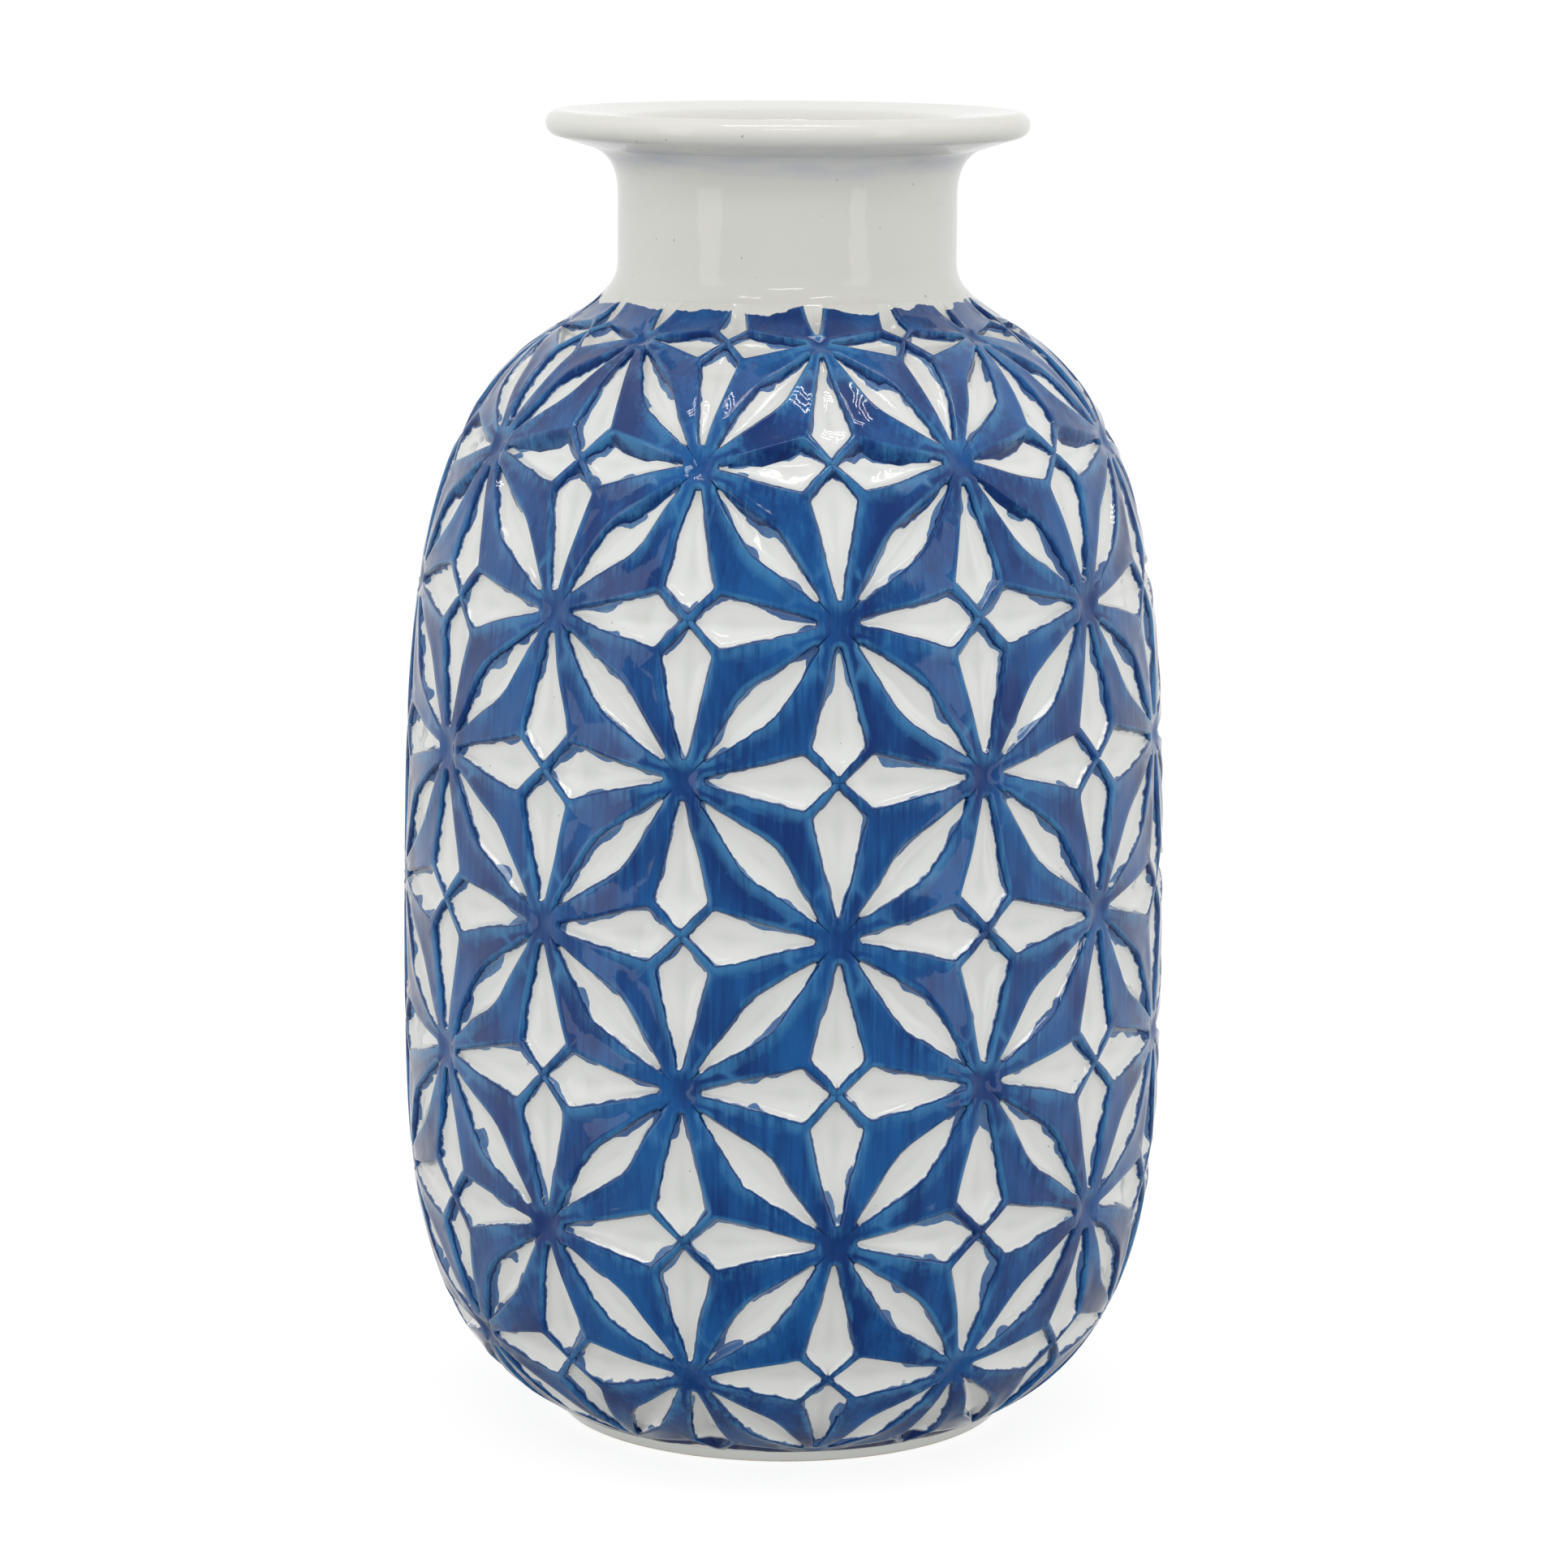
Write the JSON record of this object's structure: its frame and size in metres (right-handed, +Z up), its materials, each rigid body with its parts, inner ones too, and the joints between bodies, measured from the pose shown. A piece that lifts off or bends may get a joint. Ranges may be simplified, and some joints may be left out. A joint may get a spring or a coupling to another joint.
{
  "type": "pottery vase",
  "caption": "Tall round pottery vase with a straight neck, a flat flared lip and a recessed star relief round the body.",
  "frame": {"origin": "centre of the foot ring's resting face, on the surface the vase stands on", "axes": "+Z up the vase's axis of revolution; -Y is the front"},
  "size_m": [0.178, 0.178, 0.305],
  "materials": {
    "blue_and_white_glaze": "hand-painted blue pads between white petals under a clear gloss glaze",
    "white_glaze": "warm white gloss glaze",
    "bare_clay": "unglazed, wiped clean where it rests"
  },
  "bodies": {
    "root": {"foot_ring": "bare_clay", "base_floor": "white_glaze", "body_wall": "blue_and_white_glaze", "neck_collar": "white_glaze", "rim_lip": "white_glaze"}
  },
  "joints": []
}
